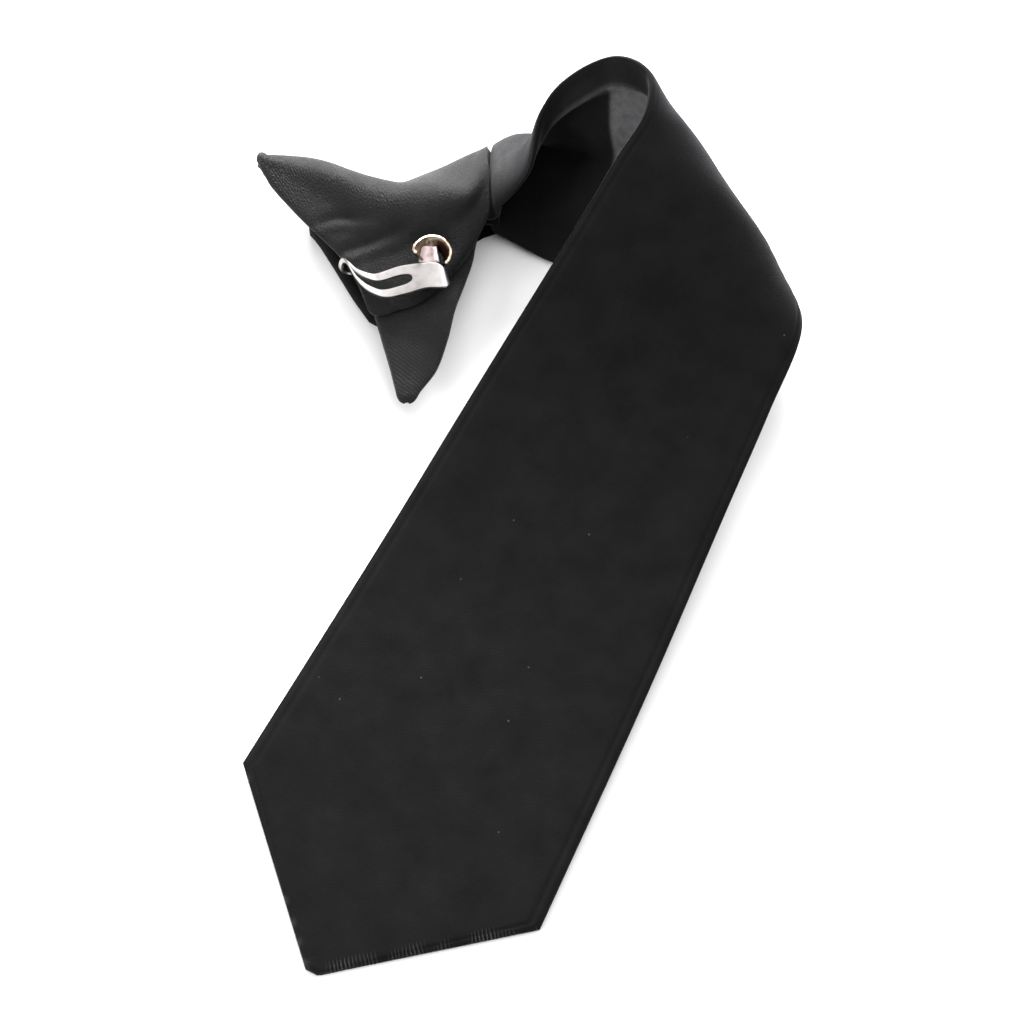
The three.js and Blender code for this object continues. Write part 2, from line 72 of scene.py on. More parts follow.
def smooth(place, value, at):
    """A smooth curve through the values at their places, read at every place in at."""
    two_steps = place[2:] - place[:-2]
    if value.ndim == 2:
        two_steps = two_steps[:, None]
    slope = np.empty_like(value)
    slope[1:-1] = (value[2:] - value[:-2]) / two_steps
    slope[0] = (value[1] - value[0]) / (place[1] - place[0])
    slope[-1] = (value[-1] - value[-2]) / (place[-1] - place[-2])
    i = np.clip(np.searchsorted(place, at, side="right") - 1, 0, len(place) - 2)
    span = place[i + 1] - place[i]
    u = (at - place[i]) / span
    if value.ndim == 2:
        span, u = span[:, None], u[:, None]
    start = (2 * u**3 - 3 * u**2 + 1) * value[i] + (u**3 - 2 * u**2 + u) * span * slope[i]
    return start + (3 * u**2 - 2 * u**3) * value[i + 1] + (u**3 - u**2) * span * slope[i + 1]


def column(rows, name, at):
    return smooth(rows["at"], rows[name], np.asarray(at, float))


def across_guides(guides, t):
    """guides is one list of points per guide line; the result is a grid of stations by t."""
    place = np.linspace(-0.5, 0.5, len(guides))
    flat = np.stack(guides).reshape(len(guides), -1)
    grid = smooth(place, flat, np.asarray(t, float))
    return grid.reshape(len(t), -1, 3).transpose(1, 0, 2)


def ease(value, low, high):
    u = np.clip((value - low) / (high - low), 0, 1)
    return u * u * (3 - 2 * u)


def band(value, start, full, leaving, end):
    """0 before start, 1 from full to leaving, and 0 again after end."""
    return ease(value, start, full) * (1 - ease(value, leaving, end))


def bell(away, width, power=2):
    """1 on a line, falling to 0 beside it."""
    return np.exp(-(np.abs(away / width) ** power))


def fine_across(count, crowd=1.8):
    """Places across a cloth, closer together by its two edges, where the folded edge is round."""
    s = np.linspace(-1, 1, count)
    return 0.5 * np.sign(s) * (1 - (1 - np.abs(s)) ** crowd)


print("tables are ready")

# %% [markdown]
# A sheet has a face, a back and a rim. It is one closed mesh: the middle surface is moved out
# along its normal for the face and in for the back. The cloth also gets a UV map that is unrolled
# in real lengths, so that a weave drawn on it keeps its size and turns with the cloth.


# %% Build a closed sheet
THINNEST_END = 0.35
THINNEST_EDGE = 0.3
EDGE_SQUARENESS = 14
END_STARTS = 0.965


def grid_normals(points):
    along = np.gradient(points, axis=0)
    across = np.gradient(points, axis=1)
    normal = np.cross(across, along)
    return normal / np.maximum(np.linalg.norm(normal, axis=2, keepdims=True), 1e-12)


def unrolled(points):
    """The UV map in metres: across from the middle line, and along it."""
    steps = np.linalg.norm(np.diff(points, axis=1), axis=2)
    u = np.concatenate([np.zeros((len(points), 1)), np.cumsum(steps, 1)], 1)
    u -= u[:, [points.shape[1] // 2]]
    runs = np.linalg.norm(np.diff(points[:, points.shape[1] // 2], axis=0), axis=1)
    v = np.concatenate([[0], np.cumsum(runs)])
    return np.stack([u, np.repeat(v[:, None], points.shape[1], 1)], 2)


def closed_sheet(name, middle, face, back, hem=None, pale=None):
    """face and back are the distances from the middle surface; only the blade has hem and pale."""
    rows, cols = middle.shape[:2]
    normal = grid_normals(middle)
    top = middle + normal * face[..., None]
    bottom = middle - normal * back[..., None]
    verts = np.concatenate([top.reshape(-1, 3), bottom.reshape(-1, 3)])
    cell = (np.arange(rows - 1)[:, None] * cols + np.arange(cols - 1)).ravel()
    up = np.stack([cell, cell + 1, cell + cols + 1, cell + cols], 1)
    down = up[:, ::-1] + rows * cols
    edge = np.arange(rows * cols).reshape(rows, cols)
    rim = np.concatenate([edge[0, ::-1], edge[1:, 0], edge[-1, 1:], edge[-2:0:-1, -1]])
    following = np.roll(rim, -1)
    side = np.stack([rim, following, following + rows * cols, rim + rows * cols], 1)
    mesh = bpy.data.meshes.new(name)
    mesh.from_pydata(verts.tolist(), [], np.concatenate([up, down, side]).tolist())
    corner = np.empty(len(mesh.loops), np.int32)
    mesh.loops.foreach_get("vertex_index", corner)
    for layer, flat in (("cloth", unrolled(middle)), ("hem", hem)):
        if flat is not None:
            both = np.concatenate([flat.reshape(-1, 2)] * 2)
            mesh.uv_layers.new(name=layer).data.foreach_set("uv", both[corner].ravel())
    if pale is not None:
        both = np.concatenate([paleness.ravel() for paleness in pale])
        mesh.attributes.new("pale", "FLOAT", "POINT").data.foreach_set("value", both)
    mesh.polygons.foreach_set("use_smooth", np.ones(len(mesh.polygons), bool))
    mesh.update()
    piece = bpy.data.objects.new(name, mesh)
    bpy.context.collection.objects.link(piece)
    return piece


def half_area(piece):
    return sum(p.area for p in piece.data.polygons) / 2


def rounded_end(at, start, end):
    """1 along the cloth, falling to a thin rounded edge between start and end."""
    u = np.clip((at - start) / (end - start), 0, 1)
    return np.maximum(THINNEST_END, np.sqrt(1 - u**2))[:, None]


def folded_edge(t):
    """1 across the cloth, falling to a thin rounded edge on both sides."""
    fall = np.clip(1 - np.abs(2 * t) ** EDGE_SQUARENESS, 0, 1)
    return np.maximum(THINNEST_EDGE, np.sqrt(fall))


print("sheet builder is ready")

# %% [markdown]
# The finish comes before the pieces. The cloth is a black polyester twill. Seen from above it is
# nearly flat black, and it turns grey where light grazes it, so it gets a low gloss and a soft
# sheen. Its rib is drawn across the unrolled UV map at its real pitch, and a second, finer grain
# breaks it up. Sparse pale fibres lie on it, as they do on any black cloth. A few small helpers
# come first, so that each finish reads as a short list of nodes.

# %% Node helpers


def new_material(name):
    material = bpy.data.materials.new(name)
    material.use_nodes = True
    nodes = material.node_tree.nodes
    return material, nodes, material.node_tree.links, nodes["Principled BSDF"]


def add(nodes, kind, place, **inputs):
    node = nodes.new(kind)
    node.location = place
    for key, value in inputs.items():
        label = key.replace("_", " ")
        if label in node.inputs:
            node.inputs[label].default_value = value
        else:
            setattr(node, key, value)
    return node


def ramp(nodes, place, stops):
    node = nodes.new("ShaderNodeValToRGB")
    node.location = place
    while len(node.color_ramp.elements) < len(stops):
        node.color_ramp.elements.new(0.5)
    for element, (position, colour) in zip(node.color_ramp.elements, stops):
        element.position = position
        element.color = (*colour, 1)
    return node


def feed(links, socket, value):
    """Join a socket to another node's output, or set its own value."""
    if isinstance(value, bpy.types.NodeSocket):
        links.new(value, socket)
    else:
        socket.default_value = value


def calculate(nodes, links, place, operation, *values):
    node = add(nodes, "ShaderNodeMath", place, operation=operation)
    for socket, value in zip(node.inputs, values):
        feed(links, socket, value)
    return node.outputs["Value"]


def rescale(nodes, links, place, value, low, high, new_low=0.0, new_high=1.0):
    """Carry a value from one range into another, stopping at both ends."""
    node = add(nodes, "ShaderNodeMapRange", place)
    labels = ("Value", "From Min", "From Max", "To Min", "To Max")
    for label, number in zip(labels, (value, low, high, new_low, new_high)):
        feed(links, node.inputs[label], number)
    return node.outputs["Result"]


def blend(nodes, links, place, share, under, over):
    """Mix two colours: a share of 0 shows the one under, and 1 the one over."""
    node = add(nodes, "ShaderNodeMix", place, data_type="RGBA")
    # the colour version of this node reads its inputs 0, 6 and 7, and answers at output 2
    for index, value in ((0, share), (6, under), (7, over)):
        feed(links, node.inputs[index], value)
    return node.outputs[2]


print("node helpers are ready")

# %% [markdown]
# The tip's lining is sewn to its hem by hand, and the thread draws the edge into puckers, less
# than a millimetre apart on the right and coarser on the left. They are too fine to model, so
# they are drawn as a bump, and their crests get a lighter grey as a painted highlight. A second
# UV map says how far along the edge a place is and how far from it. The blade's paler places,
# which its mesh carries as an attribute, are mixed in here too.

# %% Puckers of the hand-sewn hem
PUCKER_PITCH = 0.85
PUCKER_WANDER = 7.0
PUCKER_FULL, PUCKER_END = 0.4, 2.6
# the grey of real pale fibres, also used as the painted highlight on the puckers' crests
FIBRE_AND_PUCKER_HIGHLIGHT_GREY = (0.05, 0.05, 0.052, 1)
PALE_DARK, PALE_LIGHT = (0.06, 0.06, 0.062), (0.10, 0.10, 0.103)


def pucker(nodes, links, surface, weave, weave_place, colour):
    """The hem's UV map holds the run along the tip's edge and the distance from it."""
    uv = add(nodes, "ShaderNodeUVMap", (-1500, 900), uv_map="hem")
    to_mm = add(nodes, "ShaderNodeMapping", (-1300, 900), Scale=(1000, 1000, 1000))
    parts = add(nodes, "ShaderNodeSeparateXYZ", (-1100, 1000))
    wander = add(nodes, "ShaderNodeTexNoise", (-1100, 800), Scale=0.35, Detail=2.0)
    tight = add(nodes, "ShaderNodeTexNoise", (-1100, 600), Scale=0.13, Detail=1.0)
    links.new(uv.outputs["UV"], to_mm.inputs["Vector"])
    for node in (parts, wander, tight):
        links.new(to_mm.outputs["Vector"], node.inputs["Vector"])
    run, away = parts.outputs["X"], parts.outputs["Y"]
    turns = calculate(nodes, links, (-900, 1000), "MULTIPLY", run, 2 * math.pi / PUCKER_PITCH)
    phase = calculate(nodes, links, (-900, 800), "MULTIPLY", wander.outputs["Fac"], PUCKER_WANDER)
    both = calculate(nodes, links, (-700, 900), "ADD", turns, phase)
    wave = calculate(nodes, links, (-550, 900), "SINE", both)
    near = rescale(nodes, links, (-700, 700), away, PUCKER_FULL, PUCKER_END, 1.0, 0.0)
    some = rescale(nodes, links, (-700, 500), tight.outputs["Fac"], 0.42, 0.62)
    where = calculate(nodes, links, (-500, 600), "MULTIPLY", near, some)
    ticks = calculate(nodes, links, (-350, 800), "MULTIPLY", wave, where)
    drawn = add(nodes, "ShaderNodeBump", (100, 600), Strength=0.9, Distance=0.0003)
    links.new(ticks, drawn.inputs["Height"])
    links.new(weave.outputs["Normal"], drawn.inputs["Normal"])
    links.new(drawn.outputs["Normal"], surface.inputs["Normal"])
    # the lighter grey on the puckers' crests is a painted highlight
    bright = blend(nodes, links, (0, -200), ticks, colour, FIBRE_AND_PUCKER_HIGHLIGHT_GREY)
    pale = add(nodes, "ShaderNodeAttribute", (0, -450), attribute_name="pale")
    mottle = add(nodes, "ShaderNodeTexNoise", (-200, -650), Scale=0.5, Detail=4.0, Roughness=0.6)
    links.new(weave_place.outputs["Vector"], mottle.inputs["Vector"])
    greys = ramp(nodes, (0, -650), [(0.3, PALE_DARK), (0.7, PALE_LIGHT)])
    links.new(mottle.outputs["Fac"], greys.inputs["Fac"])
    # mixes in the blade's paler places: painted highlights and the grey patch inside the roll
    with_pale_places = blend(nodes, links, (200, -300), pale.outputs["Fac"], bright, greys.outputs["Color"])
    links.new(with_pale_places, surface.inputs["Base Color"])


print("fine puckers are", PUCKER_PITCH, "mm apart and end", PUCKER_END, "mm from the edge")

# %% [markdown]
# One recipe makes every black cloth of the tie. A wave at a slant is the rib of the twill, two
# noises are its grain and its worn patches, and the spots of a third pattern are the pale fibres.
# The patches turn the tone, the gloss and the depth of the rib together, as real wear does.

# %% Black cloth
RIB_SLANT = math.radians(52)
DARK_SHARE, LIGHT_SHARE = 0.86, 1.18
DULLNESS_SPREAD = 0.13


def black_cloth(name, tone, rib_depth, grain_depth, gloss, sheen, dullness=0.68, hemmed=False):
    material, nodes, links, surface = new_material(name)
    uv = add(nodes, "ShaderNodeUVMap", (-1500, 0), uv_map="cloth")
    to_mm = add(nodes, "ShaderNodeMapping", (-1300, 0), Scale=(1000, 1000, 1000))
    turned = add(nodes, "ShaderNodeMapping", (-1100, 200), Rotation=(0, 0, RIB_SLANT))
    rib = add(
        nodes, "ShaderNodeTexWave", (-900, 200), Scale=0.42, Distortion=3.0, Detail=2.0, Detail_Scale=0.6
    )
    grain = add(nodes, "ShaderNodeTexNoise", (-900, -100), Scale=1.7, Detail=4.0, Roughness=0.65)
    patch = add(nodes, "ShaderNodeTexNoise", (-900, -400), Scale=0.11, Detail=3.0, Roughness=0.55)
    fibre = add(nodes, "ShaderNodeTexVoronoi", (-900, -700), Scale=0.13, Randomness=1.0)
    links.new(uv.outputs["UV"], to_mm.inputs["Vector"])
    links.new(to_mm.outputs["Vector"], turned.inputs["Vector"])
    links.new(turned.outputs["Vector"], rib.inputs["Vector"])
    for node in (grain, patch, fibre):
        links.new(to_mm.outputs["Vector"], node.inputs["Vector"])
    dark, light = ([c * share for c in tone] for share in (DARK_SHARE, LIGHT_SHARE))
    colour = ramp(nodes, (-600, -300), [(0.3, dark), (0.7, light)])
    links.new(patch.outputs["Fac"], colour.inputs["Fac"])
    lint = ramp(nodes, (-600, -650), [(0.0, (1, 1, 1)), (0.022, (1, 1, 1)), (0.034, (0, 0, 0))])
    links.new(fibre.outputs["Distance"], lint.inputs["Fac"])
    plain, spots = colour.outputs["Color"], lint.outputs["Color"]
    linty = blend(nodes, links, (-300, -300), spots, plain, FIBRE_AND_PUCKER_HIGHLIGHT_GREY)
    links.new(linty, surface.inputs["Base Color"])
    wear = calculate(nodes, links, (-500, -50), "SUBTRACT", grain.outputs["Fac"], patch.outputs["Fac"])
    low, high = dullness - DULLNESS_SPREAD, dullness + DULLNESS_SPREAD
    rough = rescale(nodes, links, (-300, -50), wear, -0.3, 0.3, low, high)
    links.new(rough, surface.inputs["Roughness"])
    fine = add(nodes, "ShaderNodeBump", (-300, 250), Strength=min(grain_depth, 1))
    fine.inputs["Distance"].default_value = 0.00012 + 0.0001 * grain_depth
    weave = add(nodes, "ShaderNodeBump", (-100, 350), Strength=min(rib_depth, 1), Distance=0.00016)
    worn = calculate(nodes, links, (-500, 350), "MULTIPLY", rib.outputs["Fac"], patch.outputs["Fac"])
    links.new(grain.outputs["Fac"], fine.inputs["Height"])
    links.new(worn, weave.inputs["Height"])
    links.new(fine.outputs["Normal"], weave.inputs["Normal"])
    links.new(weave.outputs["Normal"], surface.inputs["Normal"])
    if hemmed:
        pucker(nodes, links, surface, weave, to_mm, linty)
    surface.inputs["Specular IOR Level"].default_value = gloss
    surface.inputs["Sheen Weight"].default_value = sheen
    surface.inputs["Sheen Roughness"].default_value = 0.42
    surface.inputs["Sheen Tint"].default_value = (0.9, 0.92, 1, 1)
    return material


print("the rib of the twill slants by", round(math.degrees(RIB_SLANT)), "degrees")

# %% [markdown]
# The tie shows four states of one cloth. The blade is pressed flat and almost black, the knot is
# smoother from handling and catches more light, the lower wing shows its rib most clearly, and
# the padded front underneath is seen only as a dark edge. The knot's and the front's darker tones
# are painted shade.

# %% The tie's cloths
blade_cloth = black_cloth(
    "black twill, blade",
    (0.0045, 0.0045, 0.0047),
    rib_depth=0.10,
    grain_depth=0.5,
    gloss=0.05,
    sheen=0.06,
    hemmed=True,
)
# the knot's tone is darker than the blade's: painted shade
knot_cloth_painted_shade = black_cloth(
    "black twill with painted shade, knot",
    (0.0018, 0.0018, 0.0019),
    rib_depth=0.25,
    grain_depth=2.0,
    gloss=0.14,
    sheen=0.03,
    dullness=0.46,
)
wing_cloth = black_cloth(
    "black twill, lower wing",
    (0.0065, 0.0065, 0.0068),
    rib_depth=0.9,
    grain_depth=1.8,
    gloss=0.16,
    sheen=0.2,
)
# the front's darkest tone is painted shade, for the front lies in shade under the knot
front_cloth_painted_shade = black_cloth(
    "black twill with painted shade, knot front",
    (0.002, 0.002, 0.0021),
    rib_depth=0.3,
    grain_depth=0.5,
    gloss=0.03,
    sheen=0.0,
)
print("made", ", ".join(m.name for m in (blade_cloth, knot_cloth_painted_shade, wing_cloth, front_cloth_painted_shade)))

# %% [markdown]
# The blade is one long piece of cloth with its seam on the back. Five guide lines run from the
# line between its two lower corners (at 0) to the knot (at 1). They rise, turn over and come back
# to the floor, which makes the loose roll. Below the corners it runs straight to a point.

# %% The blade's sizes and guide lines
BLADE_WIDTH = 77 * MM
TIP_LENGTH = 34 * MM
TIP_BLUNT = 3 * MM
TIP_ASIDE = -1 * MM
BLADE_WALL = 2.6 * MM
ROLL_REACH = 183 * MM
ROLL_HEIGHT = 49 * MM
KNOT_TURN = math.radians(27.8)
STATIONS = [0, 0.23, 0.41, 0.53, 0.62, 0.69, 0.745, 0.79, 0.835, 0.88, 0.92, 0.96, 1]
GUIDES = {
    "near edge": (
        [-0.5, -0.476, -0.438, -0.394, -0.354, -0.33, -0.316]
        + [-0.378, -0.512, -0.622, -0.654, -0.622, -0.687],
        [0.007, 0.317, 0.547, 0.694, 0.796, 0.868, 0.928, 0.987, 1.002, 0.963, 0.917, 0.856, 0.803],
        [0.034, 0.1, 0.31, 0.555, 0.778, 0.927, 1, 0.98, 0.885, 0.765, 0.65, 0.48, 0.296],
    ),
    "near quarter": (
        [-0.25, -0.24, -0.218, -0.196, -0.167, -0.16, -0.211]
        + [-0.307, -0.423, -0.54, -0.646, -0.712, -0.753],
        [0.002, 0.315, 0.548, 0.699, 0.806, 0.889, 0.955, 0.983, 0.975, 0.958, 0.938, 0.9, 0.855],
        [0.034, 0.098, 0.285, 0.487, 0.714, 0.843, 0.8, 0.69, 0.58, 0.47, 0.4, 0.315, 0.318],
    ),
    "middle": (
        [0, -0.008, -0.01, -0.006, 0.01, -0.007, -0.099, -0.213, -0.336, -0.458, -0.598, -0.752, -0.817],
        [-0.002, 0.314, 0.55, 0.705, 0.812, 0.901, 0.952, 0.966, 0.961, 0.956, 0.956, 0.945, 0.906],
        [0.034, 0.095, 0.255, 0.419, 0.618, 0.69, 0.568, 0.447, 0.338, 0.24, 0.185, 0.17, 0.188],
    ),
    "far quarter": (
        [0.25, 0.222, 0.198, 0.186, 0.184, 0.122, -0.016, -0.147, -0.281, -0.405, -0.518, -0.665, -0.755],
        [-0.007, 0.314, 0.551, 0.71, 0.82, 0.904, 0.926, 0.915, 0.9, 0.893, 0.889, 0.884, 0.856],
        [0.034, 0.09, 0.225, 0.348, 0.5, 0.482, 0.338, 0.26, 0.17, 0.09, 0.05, 0.055, 0.069],
    ),
    "far edge": (
        [0.5, 0.45, 0.407, 0.379, 0.348, 0.216, 0.054, -0.082, -0.22, -0.359, -0.49, -0.623, -0.7],
        [-0.012, 0.313, 0.553, 0.715, 0.832, 0.891, 0.88, 0.861, 0.842, 0.825, 0.816, 0.815, 0.812],
        [0.034, 0.085, 0.195, 0.28, 0.35, 0.238, 0.142, 0.095, 0.06, 0.035, 0.03, 0.06, 0.098],
    ),
}


def guide_line(name, at):
    rows = np.array(GUIDES[name]).T * (BLADE_WIDTH, ROLL_REACH, ROLL_HEIGHT)
    return smooth(np.array(STATIONS), rows, np.asarray(at, float))


def blade_middle(at, t):
    at, t = np.asarray(at, float), np.asarray(t, float)
    grid = across_guides([guide_line(name, np.clip(at, 0, 1)) for name in GUIDES], t)
    point = grid * (TIP_BLUNT / BLADE_WIDTH, 0, 1) + (TIP_ASIDE, -TIP_LENGTH, 0)
    share = np.clip(-at, 0, 1)[:, None, None]
    return grid * (1 - share) + point * share


blade_low, blade_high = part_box("blade")
SHIFT = np.array([blade_high.x - BLADE_WIDTH / 2, blade_low.y + TIP_LENGTH, 0])
print("the frame's origin lies", np.round(SHIFT * 1000, 2), "mm from the corner line's middle")

# %% [markdown]
# The real blade is not an even slab. A line is pressed in along its hems, the cloth laps over at
# the seam on its back, and the turned-in hem stands up as a ridge on the inside where the roll
# crowds it. Each of these is added to the thickness of the face or the back, station by station.

# %% The blade's wall
SEAM_STEP = 0.35 * MM
HEM_INSET = 6.5 * MM
RIDGE_HEIGHT = 3.4 * MM
RIDGE_WIDTH = HEM_INSET / 3.4
PRESSED_DEPTH = 0.24 * MM
PRESSED_INSET = 2.4 * MM
PRESSED_WIDTH = 0.5 * MM


def blade_wall(at, t):
    """How far the face and the back stand off the middle surface."""
    edge = folded_edge(t)[None, :]
    half = BLADE_WALL / 2 * edge * rounded_end(-at, END_STARTS, 1)
    past_point = ease(at, -1, -0.6)[:, None]
    before_knot = (1 - ease(at, 0.7, 0.8))[:, None]
    lap = ease(t * BLADE_WIDTH, 0, 2 * MM)[None, :]
    seam = SEAM_STEP * (1 - lap) * past_point * before_knot * edge
    crowd = band(at, 0.74, 0.83, 0.86, 0.97)[:, None]
    from_near = (t + 0.5)[None, :] * BLADE_WIDTH
    ridge = RIDGE_HEIGHT * crowd * bell(from_near - HEM_INSET, RIDGE_WIDTH, 1.4)
    inset = (0.5 - np.abs(t))[None, :] * BLADE_WIDTH
    pressed = PRESSED_DEPTH * bell(inset - PRESSED_INSET, PRESSED_WIDTH) * before_knot
    return half - pressed, half + seam + ridge


print("the blade is", round(BLADE_WALL * 1000, 1), "mm thick between its hems")

# %% [markdown]
# The puckers need a UV map of their own, which follows the two slanted edges of the tip. The left
# edge is sewn coarser, so its run counts for only a sixth.

# %% The hem's UV map
COARSE_LEFT, COARSE_RIGHT = 6, 1


def tip_hem(points):
    """The run along the nearer edge of the tip, and the distance from that edge."""
    found = []
    for name, side, coarse in (("near edge", -1, COARSE_LEFT), ("far edge", 1, COARSE_RIGHT)):
        start = guide_line(name, [0.0])[0, :2]
        way = np.array([TIP_ASIDE + side * TIP_BLUNT / 2, -TIP_LENGTH]) - start
        run = np.clip((points[..., :2] - start) @ way / (way @ way), 0, 1)
        away = np.linalg.norm(points[..., :2] - start - run[..., None] * way, axis=2)
        found.append(np.stack([run * np.linalg.norm(way) / coarse, away], 2))
    left, right = found
    return np.where(left[..., 1:] < right[..., 1:], left, right)


print("the tip's hem is mapped from corner to point")

# %% [markdown]
# The blade's grid is finest at the tip and in the roll. Its last few millimetres go on under the
# wrap, squeezed lower as the knot squeezes the real cloth. The long face ripples a little, and the
# tip's edges waver by a twentieth of a millimetre, because no hand-sewn edge is straight.

# %% The blade's middle surface
NECK_TUCK = 3 * MM
NECK_SQUEEZE = 2.1 * MM
RIPPLE = 0.25 * MM
EDGE_WAVER = 0.05 * MM

in_tip, in_face, in_roll = np.linspace(-1, 0, 120), np.linspace(0, 0.7, 90), np.linspace(0.7, 1, 136)
at = np.concatenate([in_tip[:-1], in_face[:-1], in_roll])
t = fine_across(91)
middle = blade_middle(at, t)
inward = np.array([-math.cos(KNOT_TURN), -math.sin(KNOT_TURN), 0])
tucked = middle[-1] + inward * np.linspace(0.15, 1, 6)[:, None, None] * NECK_TUCK
middle = np.concatenate([middle, tucked])
at = np.concatenate([at, np.linspace(1.003, 1.02, 6)])
squeeze = NECK_SQUEEZE * ease(at, 0.990, 1.0)[:, None, None]
middle -= grid_normals(middle) * squeeze
waves = np.sin(middle[..., 1] * 95 + 2 * np.sin(middle[..., 0] * 60))
calm = ease(np.clip(at, 0, 1), 0.02, 0.25)[:, None] * (1 - (2 * t) ** 2)[None, :]
flow = middle.copy()
flow[..., 2] += RIPPLE * calm * waves
station = np.arange(len(at))
uneven = np.cos(math.pi * station) * np.sin(0.37 * station + 2 * np.sin(0.11 * station))
waver = EDGE_WAVER * uneven * (at < 0)
flow[:, 0, 0] -= waver
flow[:, -1, 0] += waver
print("the blade's grid has", len(at), "stations of", len(t), "points")

# %% [markdown]
# Three places on the blade are paler. The inside of the roll gets a grey patch with a straight
# edge. The crest of the hem's ridge gets a thin painted highlight, and the cloth beside the neck
# gets a painted highlight where its face tilts back towards the light. Each is a number from 0
# to 1 on the face or on the back.

# %% Paler places, and the blade
PATCH_EDGE_PLACE, PATCH_EDGE_SLANT = 0.842, 0.075
CREST_HIGHLIGHT, CREST_WIDTH = 0.4, 0.55 * MM
NECK_LIGHT_PALE = 0.45

along = at[:, None]
# a paler grey patch with a straight edge on the inside of the roll
cut_edge = PATCH_EDGE_PLACE + PATCH_EDGE_SLANT * (t + 0.4)
grey_patch = ease(cut_edge - along, -0.002, 0.003) * ease(along, 0.6, 0.7) * band(t, -0.42, -0.41, 0.2, 0.3)
# painted highlight along the crest of the hem's ridge
crest = bell((t + 0.5) * BLADE_WIDTH - HEM_INSET, CREST_WIDTH) * band(along, 0.78, 0.82, 0.93, 0.96)
# painted highlight on the back-tilted cloth beside the neck
painted_neck_light = NECK_LIGHT_PALE * ease(along, 0.93, 0.975) * band(t, -0.5, -0.25, 0, 0.15)
pale = (painted_neck_light, np.maximum(grey_patch, CREST_HIGHLIGHT * crest))
face, back = blade_wall(at, t)
blade = closed_sheet("tie_blade", flow + SHIFT, face, back, tip_hem(flow), pale)
print("blade:", len(blade.data.polygons), "faces, cloth of", round(half_area(blade) * 1e4, 1), "cm2")

# %% [markdown]
# The knot is built in a frame of its own. Its origin is the middle of the neck on the floor, and
# the knot runs towards -X. It is turned with the tie's axis when it is put in place.

# %% The knot's own frame
KNOT_LENGTH = 44 * MM
KNOT_WIDTH = 36 * MM
neck = {name: guide_line(name, [1.0])[0] for name in GUIDES}
neck_across = (neck["middle"] - neck["near edge"]) * (1, 1, 0)
knot_place = neck["near edge"] * (1, 1, 0) + neck_across / 2
cos, sin = math.cos(KNOT_TURN), math.sin(KNOT_TURN)
turn = np.array([[cos, -sin, 0], [sin, cos, 0], [0, 0, 1]])


def from_knot(points):
    return np.asarray(points) @ turn.T + knot_place + SHIFT


FRONT_DEPTH = 7.6 * MM
CLIP_WALL = 0.7 * MM
WING_WALL = 2.4 * MM
WRAP_WALL = 2.2 * MM
GAP = 0.3 * MM
CLIP_LEVEL = FRONT_DEPTH + GAP + CLIP_WALL / 2
WING_LEVEL = CLIP_LEVEL + CLIP_WALL / 2 + GAP + WING_WALL / 2
WRAP_LEVEL = WING_LEVEL + WING_WALL / 2 + GAP + WRAP_WALL / 2
TONGUE_LEVEL = WRAP_LEVEL + WRAP_WALL / 2 + GAP + CLIP_WALL / 2
print("wrap lies at", round(WRAP_LEVEL * 1000, 2), "mm, tongue at", round(TONGUE_LEVEL * 1000, 2))

# %% [markdown]
# The wrap is the cloth folded round the knot. It opens towards the lower wing, is folded along
# its far side and runs out into the upper wing. Its table gives five lines: the near edge, a
# shoulder, the crest, the far fold and the edge tucked underneath. A first row is added for its
# mouth, which follows the neck of the blade.

# %% The wrap's table
WRAP_ROWS = table(
    "at near nearUp shoulder shoulderUp crest crestUp far farUp under underUp",
    [
        (0.112, -0.57, 1.00, -0.31, 1.23, -0.13, 1.34, 0.256, 0.66, 0.075, 0.23),
        (0.248, -0.79, 1.00, -0.47, 1.16, -0.18, 1.41, 0.170, 0.63, 0.115, 0.24),
        (0.382, -0.945, 1.00, -0.58, 1.12, -0.20, 1.42, 0.092, 0.63, 0.055, 0.26),
        (0.494, -0.995, 1.00, -0.58, 1.10, -0.21, 1.42, 0.033, 0.63, 0.000, 0.29),
        (0.574, -1.03, 1.00, -0.60, 1.10, -0.19, 1.40, 0.045, 0.63, 0.006, 0.32),
        (0.648, -1.00, 1.00, -0.57, 1.08, -0.15, 1.34, 0.072, 0.62, 0.022, 0.36),
        (0.715, -0.80, 1.00, -0.445, 1.07, -0.11, 1.28, 0.106, 0.62, 0.033, 0.40),
        (0.798, -0.61, 0.99, -0.305, 1.05, -0.033, 1.20, 0.145, 0.61, 0.040, 0.43),
        (0.885, -0.47, 0.93, -0.195, 1.00, 0.030, 1.10, 0.190, 0.61, 0.014, 0.45),
        (0.985, -0.333, 0.86, -0.097, 0.92, 0.095, 0.98, 0.220, 0.61, -0.030, 0.44),
        (1.32, -0.167, 0.80, 0.022, 0.85, 0.155, 0.87, 0.230, 0.62, -0.030, 0.42),
        (1.69, 0.017, 0.74, 0.122, 0.78, 0.200, 0.79, 0.245, 0.62, 0.090, 0.42),
        (1.80, 0.105, 0.73, 0.170, 0.76, 0.222, 0.76, 0.248, 0.61, 0.150, 0.44),
        (1.89, 0.170, 0.72, 0.215, 0.74, 0.252, 0.73, 0.285, 0.60, 0.205, 0.46),
        (1.96, 0.215, 0.72, 0.237, 0.73, 0.257, 0.72, 0.278, 0.60, 0.228, 0.48),
    ],
)
UPPER_WING_REACH = 13.4 * MM
MOUTH_PLACE = 0.3 * MM
MOUTH_SHOULDER, MOUTH_CREST, MOUTH_UNDER = -0.3, 0.4, 0.1
SHOULDER_RISE, CREST_RISE = 1.01, 0.95

